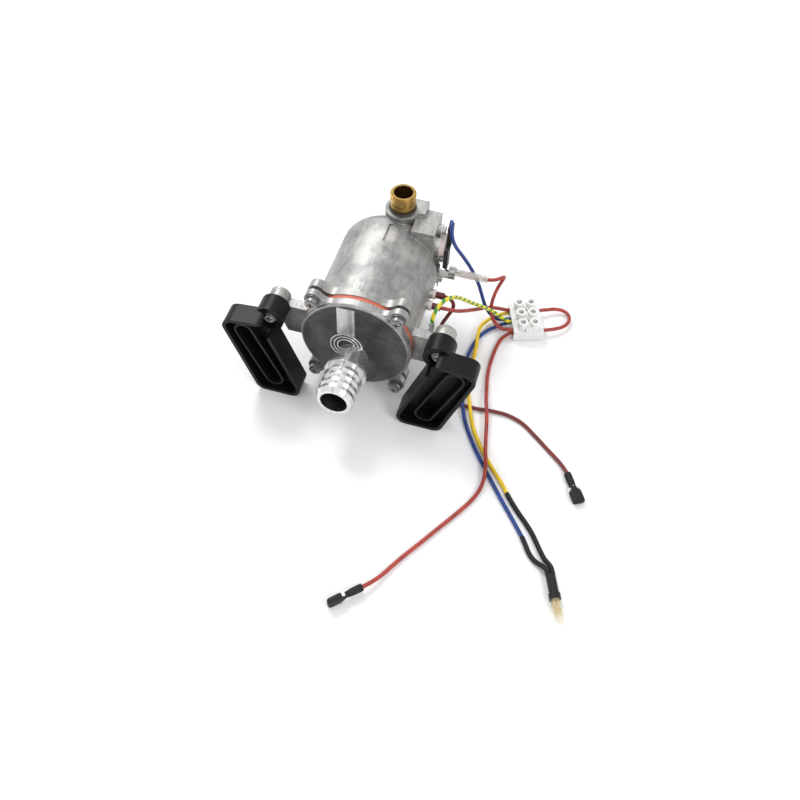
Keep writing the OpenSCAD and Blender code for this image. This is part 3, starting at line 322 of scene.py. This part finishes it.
class Value:
    """A shader socket that adds, subtracts, multiplies and takes powers like a number."""

    def __init__(self, paint, socket):
        self.paint, self.socket = paint, socket

    def maths(self, operation, *values):
        return self.paint.node("ShaderNodeMath", {"operation": operation}, *values)

    def outputs(self):
        """Every output of this value's node."""
        return [Value(self.paint, socket) for socket in self.socket.node.outputs]

    def __add__(self, other):
        return self.maths("ADD", self, other)

    def __sub__(self, other):
        return self.maths("SUBTRACT", self, other)

    def __rsub__(self, other):
        return self.maths("SUBTRACT", other, self)

    def __mul__(self, other):
        return self.maths("MULTIPLY", self, other)

    def __pow__(self, other):
        return self.maths("POWER", self, other)

    __radd__, __rmul__ = __add__, __mul__


class Paint:
    """One material. node() adds a node from its type, its settings and its sockets' values or links."""

    # Places in the lists of sockets: Texture Coordinate's outputs, and a colour Mix node's own
    UV_MAP, OBJECT = 2, 3
    FIRST, SECOND, MIXED = 6, 7, 2

    def __init__(self, name):
        self.material = bpy.data.materials.new(name)
        self.material.use_nodes = True
        self.tree = self.material.node_tree
        self.shader = self.tree.nodes["Principled BSDF"]

    def put(self, socket, value):
        if isinstance(value, Value):
            self.tree.links.new(value.socket, socket)
        elif isinstance(value, (tuple, list)) and len(value) == 3 and socket.type == "RGBA":
            socket.default_value = (*value, 1)
        else:
            socket.default_value = value

    def node(self, kind, settings=None, *values, out=0, **named):
        made = self.tree.nodes.new(kind)
        for key, value in (settings or {}).items():
            if key == "stops":
                ramp = made.color_ramp.elements
                while len(ramp) < len(value):
                    ramp.new(0.5)
                for element, (place, shade) in zip(ramp, value):
                    element.position = place
                    element.color = (*shade, 1) if isinstance(shade, tuple) else (shade, shade, shade, 1)
            else:
                setattr(made, key, value)
        for socket, value in zip(made.inputs, values):
            self.put(socket, value)
        for key, value in named.items():
            self.put(made.inputs[key], value)
        return Value(self, made.outputs[out])

    def place(self, scale=(1, 1, 1), turn=(0, 0, 0)):
        spot = self.node("ShaderNodeTexCoord", out=self.OBJECT)
        return self.node("ShaderNodeMapping", None, Vector=spot, Scale=scale, Rotation=turn)

    def around(self):
        """The piece's own UV map: once round, and metres along."""
        return self.node("ShaderNodeTexCoord", out=self.UV_MAP)

    def noise(self, where, scale, detail=4, roughness=0.5, distortion=0):
        return self.node("ShaderNodeTexNoise", None, Vector=where, Scale=scale, Detail=detail,
                         Roughness=roughness, Distortion=distortion)

    def cells(self, where, scale):
        return self.node("ShaderNodeTexVoronoi", {"feature": "F1"}, Vector=where, Scale=scale)

    def ramp(self, value, *stops):
        return self.node("ShaderNodeValToRGB", {"stops": stops}, value)

    def step(self, value, low, high):
        """0 below low, 1 above high, smooth between."""
        return self.node("ShaderNodeMapRange", {"interpolation_type": "SMOOTHSTEP"}, value, low, high, 0, 1)

    def mix(self, factor, first, second):
        """The first colour where the factor is 0, the second where it is 1."""
        made = self.tree.nodes.new("ShaderNodeMix")
        made.data_type = "RGBA"
        self.put(made.inputs["Factor"], factor)
        self.put(made.inputs[self.FIRST], first if isinstance(first, Value) else (*first, 1))
        self.put(made.inputs[self.SECOND], second if isinstance(second, Value) else (*second, 1))
        return Value(self, made.outputs[self.MIXED])

    def bump(self, height, depth, strength=1, normal=None):
        named = {"Height": height, "Strength": strength, "Distance": depth}
        if normal is not None:
            named["Normal"] = normal
        return self.node("ShaderNodeBump", None, **named)

    def rounded(self, radius):
        """The surface normal as if every edge had this radius."""
        return self.node("ShaderNodeBevel", {"samples": 4}, Radius=radius)

    def sharp_edge(self, radius):
        """1 along sharp edges, 0 on flat ground."""
        true = self.node("ShaderNodeNewGeometry", out=1)
        soft = self.rounded(radius)
        dot = self.node("ShaderNodeVectorMath", {"operation": "DOT_PRODUCT"}, true, soft, out=1)
        return self.step(1 - dot, 0.02, 0.25)

    def finish(self, **sockets):
        for key, value in sockets.items():
            self.put(self.shader.inputs[key.replace("_", " ")], value)
        return self.material


def cast_metal(name, light, dark, edge, roughness, machined=None):
    """Die-cast aluminium: cloudy tone, fine grain, small pits and sharp edges lightened as a painted
    highlight.
    machined tells where a painted dark reflection lies, where it is bright, where it is hatched and where its
    painted sheen runs."""
    p = Paint(name)
    spot = p.place()
    cloud = p.noise(spot, 55, 5, 0.62)
    flow = p.noise(p.place((1, 0.25, 1)), 260, 4, 0.6, 0.6)
    fine = p.noise(spot, 2600, 3, 0.7)
    pits = 1 - p.step(p.cells(spot, 620), 0.1, 0.26)
    pits = pits * p.step(p.noise(spot, 120, 3), 0.46, 0.6)
    tone = p.mix(p.step(cloud * 0.65 + flow * 0.35, 0.36, 0.66), dark, light)
    tone = p.mix(p.step(fine, 0.35, 0.75) * 0.22, tone, (0.9, 0.89, 0.85))
    tone = p.mix(pits * 0.85, tone, tuple(c * 0.25 for c in dark))
    sharp_edge = p.sharp_edge(0.0006)
    # painted highlight: along sharp edges the tone is lightened towards the edge colour
    tone = p.mix(sharp_edge * 0.6, tone, edge)
    height = fine * 0.5 + flow * 0.6 - pits * 1.6
    rough = roughness + cloud * 0.16 - sharp_edge * 0.08 + pits * 0.2
    if machined:
        face, clean, hatch, facet_sheen_bands = machined(p)
        # painted dark reflection: the lid's face is darkened as if it mirrored dark surroundings, less so at
        # its sharp edges, a painted highlight
        painted_dark_reflection = p.mix(p.step(cloud, 0.35, 0.7), (0.04, 0.04, 0.043), (0.1, 0.1, 0.104))
        tone = p.mix(face * (0.94 - sharp_edge * 0.4), tone, painted_dark_reflection)
        # the machined metal's own brightness, with bands of painted sheen running round the spigot's axis
        machined_tone_and_sheen = p.ramp(facet_sheen_bands, (0.3, (0.5, 0.5, 0.5)), (0.55, (0.86, 0.86, 0.85)), (0.75, (0.62, 0.62, 0.63)))
        tone = p.mix(clean, tone, p.mix(hatch * 0.6, machined_tone_and_sheen, (0.16, 0.16, 0.16)))
        rough = rough - clean * 0.22
        height = height * (1 - clean * 0.75) + hatch * 0.5
    return p.finish(Base_Color=tone, Metallic=0.86, Roughness=rough,
                    Normal=p.bump(height, 0.00008, 0.8, p.rounded(0.0005)))


# In metres: the height of the boiler's axis, the spigot's axis, how far forward the lid's face is, the
# radii of the spigot's bore and of the face, and the height where the hatched strip starts
AXIS_Z, SPIGOT_X, SPIGOT_Z = 0.0435, -0.0013, 0.0339
FACE_Y, BORE_R, FACE_R, STRIP_Z = 0.0305, 0.0083, 0.0325, 0.0512


def lid_machining(p):
    """Where the lid's face gets a painted dark reflection, and where it is machined bright: everything in
    front of that face but the spigot's bore. The strip above the rings is hatched, and the spigot gets
    long bands of painted sheen round its own axis."""
    x, y, z = p.node("ShaderNodeSeparateXYZ", None, p.place()).outputs()
    forward = 0 - y
    up = z - AXIS_Z
    radius = (x * x + up * up) ** 0.5
    beside, over = x - SPIGOT_X, z - SPIGOT_Z
    inward = (beside * beside + over * over) ** 0.5
    front = p.step(forward, FACE_Y + 0.00002, FACE_Y + 0.0001)
    bore = (1 - p.step(inward, BORE_R, BORE_R + 0.0002)) * p.step(forward, FACE_Y + 0.0011, FACE_Y + 0.0013)
    face = (1 - p.step(radius, FACE_R, FACE_R + 0.0008)) * p.step(forward, FACE_Y - 0.0005, FACE_Y - 0.0002)
    strip = p.step(z, STRIP_Z, STRIP_Z + 0.0002) * front
    hatch = p.step(p.node("ShaderNodeMath", {"operation": "SINE"}, (x + z) * 7000), 0.1, 0.6) * strip
    turn = p.node("ShaderNodeMath", {"operation": "ARCTAN2"}, beside, over)
    # bands of painted sheen, by the angle round the spigot's axis
    facet_sheen_bands = p.node("ShaderNodeTexNoise", {"noise_dimensions": "1D"}, W=turn * 3.2, Scale=2.4, Detail=3)
    return face, front * (1 - bore), hatch, facet_sheen_bands


def turned_metal(name, light, dark, roughness, stain=0.35):
    """Plated or turned metal: faint scratches, cloudy stains and soft edges."""
    p = Paint(name)
    spot = p.place()
    cloud = p.noise(spot, 320, 4, 0.6)
    fine = p.noise(p.place((1, 0.2, 1)), 2600, 3, 0.6)
    tone = p.mix(p.step(cloud, 0.3, 0.7) * stain, light, dark)
    return p.finish(Base_Color=tone, Metallic=1, Roughness=roughness + fine * 0.14 + cloud * 0.08,
                    Normal=p.bump(fine + cloud * 0.4, 0.00003, 0.7, p.rounded(0.0003)))


def moulded(name, colour, scuff_and_edge_highlight_colour, roughness, coat=0.0, grain=3200, depth=0.00003, **more):
    """Moulded plastic: fine spark grain, slight cloudiness, dull scuffs, sharp edges lightened as a painted
    highlight, and rounded edges.
    """
    p = Paint(name)
    spot = p.place()
    cloud = p.noise(spot, 70, 4, 0.6)
    fine = p.noise(spot, grain, 2, 0.6)
    scuff = p.step(p.noise(p.place((3, 1, 1), (0.4, 0.7, 0.2)), 420, 5, 0.7, 1.2), 0.58, 0.7)
    sharp_edge = p.sharp_edge(0.0005)
    tone = p.mix(p.step(cloud, 0.3, 0.75) * 0.5, colour, tuple(c * 0.7 for c in colour))
    # real scuffs, and a painted highlight along sharp edges, both move the tone towards the second colour
    tone = p.mix(scuff * 0.18 + sharp_edge * 0.45, tone, scuff_and_edge_highlight_colour)
    return p.finish(Base_Color=tone, Roughness=roughness + fine * 0.12 - scuff * 0.08, Coat_Weight=coat,
                    Normal=p.bump(fine, depth, 0.8, p.rounded(0.0004)), **more)


def insulation(name, colour, deep, stripe=None):
    """A lead's skin: slow change of tone along it, faint rings, dust, and a stripe round it if any."""
    p = Paint(name)
    around, along, _ = p.node("ShaderNodeSeparateXYZ", None, p.around()).outputs()
    spot = p.place()
    cloud = p.noise(spot, 140, 4, 0.6)
    fine = p.noise(spot, 3400, 2, 0.6)
    rings = p.node("ShaderNodeMath", {"operation": "SINE"}, along * 5200 + cloud * 9)
    tone = p.mix(p.step(cloud, 0.32, 0.7), deep, colour)
    if stripe is not None:
        band = p.node("ShaderNodeMath", {"operation": "SINE"}, around * (2 * math.pi) + along * 900)
        tone = p.mix(p.step(band, 0.1, 0.3), tone, stripe)
    dust = p.step(p.noise(spot, 900, 4, 0.7), 0.6, 0.75)
    tone = p.mix(dust * 0.14, tone, (0.75, 0.7, 0.65))
    return p.finish(Base_Color=tone, Roughness=0.42 + fine * 0.12 + dust * 0.15,
                    Coat_Weight=0.06, Normal=p.bump(fine * 0.6 + rings * 0.12 + cloud * 0.5, 0.00004, 0.6))


def clear(name, colour, roughness, alpha, haze=0.25):
    """Clear or milky plastic: partly see-through, hazier in clouds and along edges."""
    p = Paint(name)
    spot = p.place()
    cloud = p.noise(spot, 240, 4, 0.6)
    sharp_edge = p.sharp_edge(0.0005)
    tone = p.mix(p.step(cloud, 0.3, 0.7) * 0.4, colour, tuple(c * 0.86 for c in colour))
    return p.finish(Base_Color=tone, Roughness=roughness + cloud * 0.1, Coat_Weight=0.3,
                    Alpha=alpha + cloud * haze + sharp_edge * 0.3,
                    Normal=p.bump(cloud, 0.00004, 0.5, p.rounded(0.0004)))


# The finishes, by the short names that the next table uses
FINISHES = {
    # cast_metal's third colour is a painted highlight along sharp edges; moulded's second colour serves real
    # scuffs and a painted edge highlight
    "pot": cast_metal("cast_aluminium_pot", (0.46, 0.45, 0.42), (0.21, 0.215, 0.22), (0.74, 0.73, 0.7),
                      0.4),
    "lid": cast_metal("cast_aluminium_lid", (0.48, 0.47, 0.45), (0.24, 0.24, 0.24), (0.8, 0.8, 0.78), 0.38,
                      machined=lid_machining),
    "seal": moulded("dark_rubber", (0.05, 0.045, 0.04), (0.16, 0.15, 0.14), 0.5),
    "shrink": moulded("black_sleeving", (0.014, 0.014, 0.015), (0.07, 0.07, 0.07), 0.46, grain=1500,
                      depth=0.00006, Specular_IOR_Level=0.25),
    "gasket": moulded("salmon_silicone", (0.6, 0.13, 0.075), (0.7, 0.3, 0.22), 0.5),
    "screw": turned_metal("blackened_steel", (0.36, 0.35, 0.34), (0.12, 0.12, 0.12), 0.26),
    "washer": turned_metal("dark_washer_steel", (0.25, 0.25, 0.25), (0.09, 0.09, 0.09), 0.34),
    "zinc": turned_metal("zinc_steel", (0.62, 0.61, 0.58), (0.36, 0.35, 0.33), 0.26),
    "bright": turned_metal("bright_plate", (0.8, 0.79, 0.77), (0.5, 0.49, 0.46), 0.18),
    "brass": turned_metal("turned_brass", (0.6, 0.4, 0.13), (0.28, 0.16, 0.045), 0.18, stain=0.75),
    "black": moulded("black_moulding", (0.005, 0.005, 0.006), (0.03, 0.03, 0.032), 0.34,
                     Specular_IOR_Level=0.2),
    "boot": moulded("grey_boot", (0.02, 0.021, 0.023), (0.12, 0.12, 0.12), 0.42),
    "ceramic": moulded("pink_white_ceramic", (0.78, 0.66, 0.62), (0.88, 0.82, 0.8), 0.3, coat=0.3),
    "maroon": moulded("maroon_sleeve", (0.11, 0.012, 0.012), (0.3, 0.08, 0.07), 0.32, coat=0.2),
    "fuse": moulded("pink_enamel", (0.62, 0.38, 0.33), (0.75, 0.6, 0.55), 0.34, coat=0.2),
    "red": insulation("red_lead", (0.42, 0.045, 0.028), (0.25, 0.022, 0.014)),
    "dark_red": insulation("dark_red_lead", (0.2, 0.022, 0.02), (0.12, 0.012, 0.012)),
    "blue": insulation("blue_lead", (0.008, 0.05, 0.27), (0.004, 0.024, 0.14)),
    "yellow": insulation("yellow_lead", (0.88, 0.62, 0.01), (0.7, 0.45, 0.005)),
    "earth": insulation("earth_lead_skin", (0.85, 0.7, 0.02), (0.66, 0.5, 0.015), (0.04, 0.26, 0.03)),
    "tube": clear("clear_tube", (0.82, 0.8, 0.74), 0.12, 0.22),
    "glass": clear("lamp_glass", (0.8, 0.7, 0.42), 0.05, 0.16, 0.1),
    "gilt": turned_metal("gilt_electrode", (0.75, 0.58, 0.25), (0.4, 0.28, 0.1), 0.2),
    "block": clear("milky_nylon", (0.93, 0.93, 0.91), 0.3, 0.74, 0.2),
}
# Which pieces wear each finish
WEARS = {
    "pot": ["boiler_pot"], "lid": ["boiler_lid"], "gasket": ["lid_gasket"], "seal": ["inlet_seal"],
    "screw": ["lid_screws", "bracket_screws", "earth_screw"],
    "washer": ["lid_washers", "bracket_washers"],
    "zinc": ["heating_element", "heater_pins", "bracket_bushes", "block_screws", "fuse_holder_screw",
             "thermostat_screws", "fuse_holder"],
    "gilt": ["neon_electrodes"],
    "bright": ["thermostat_cap", "thermostat_strap", "thermostat_terminals", "earth_tag", "mains_spade",
               "return_spade"],
    "brass": ["inlet_nipple", "block_inserts", "snap_disc", "contact_arm"],
    "black": ["left_bracket", "right_bracket"],
    "boot": ["upper_terminal_boot", "lower_terminal_boot", "thermostat_link"],
    "ceramic": ["thermostat_body", "thermostat_guide", "push_pin", "heater_bushes"],
    "maroon": ["heater_pin_sleeves"],
    "shrink": ["mains_spade_sleeve", "return_spade_sleeve", "neon_end_sleeve", "neon_blue_sleeve",
               "neon_yellow_sleeve"],
    "fuse": ["thermal_fuse", "neon_resistor"],
    "red": ["mains_lead", "fuse_lead", "heater_lead", "jumper_lead"], "dark_red": ["return_lead"],
    "blue": ["thermostat_lead", "neon_blue_lead"], "yellow": ["neon_yellow_lead"], "earth": ["earth_lead"],
    "tube": ["fuse_sleeve", "resistor_sleeve"], "glass": ["neon_glass"], "block": ["block_body"],
}


def wear(piece, material):
    """The piece's only material."""
    piece.data.materials.clear()
    piece.data.materials.append(material)


for finish, names in WEARS.items():
    for name in names:
        wear(cords.get(name, nodes[name]), FINISHES[finish])


def soften(name, width):
    """Real rounded edges of this width, in metres, on one of the solids where it turns by over 35 degrees."""
    edge = nodes[name].modifiers.new("soft edges", "BEVEL")
    edge.width, edge.segments = width, 3
    edge.limit_method, edge.angle_limit = "ANGLE", math.radians(35)
    edge.use_clamp_overlap = True
    edge.harden_normals = False


for name, width in [("left_bracket", 0.0009), ("right_bracket", 0.0009), ("upper_terminal_boot", 0.0009),
                    ("lower_terminal_boot", 0.0009), ("block_body", 0.0004), ("boiler_pot", 0.0006)]:
    soften(name, width)

# ---------------------------------------------------------------- floor and lights


def floor():
    """A flat pale sheet, just under the table's level."""
    half, level = 3.0, -0.0002
    corners = np.array([[-half, -half, level], [half, -half, level], [half, half, level],
                        [-half, half, level]])
    sheet = make_piece("floor", corners, [(0, 1, 2, 3)], smooth=False)
    p = Paint("pale_floor")
    cloud = p.noise(p.place(), 8, 3)
    wear(sheet, p.finish(Base_Color=p.mix(cloud, (0.9, 0.9, 0.9), (0.93, 0.93, 0.93)), Roughness=0.7))


floor()
world = bpy.data.worlds.new("room")
bpy.context.scene.world = world
world.use_nodes = True
background = world.node_tree.nodes["Background"]
background.inputs["Color"].default_value = (0.97, 0.98, 1, 1)
background.inputs["Strength"].default_value = 0.9
LIT_POINT = (0, 0, 0.03)
soft_light("window", place=(-0.5, 0.5, 0.9), target=LIT_POINT, size=0.35, power=6)
soft_light("fill", place=(0.7, -0.5, 0.8), target=LIT_POINT, size=0.3, power=3)
bpy.context.scene.view_settings.view_transform = "Standard"
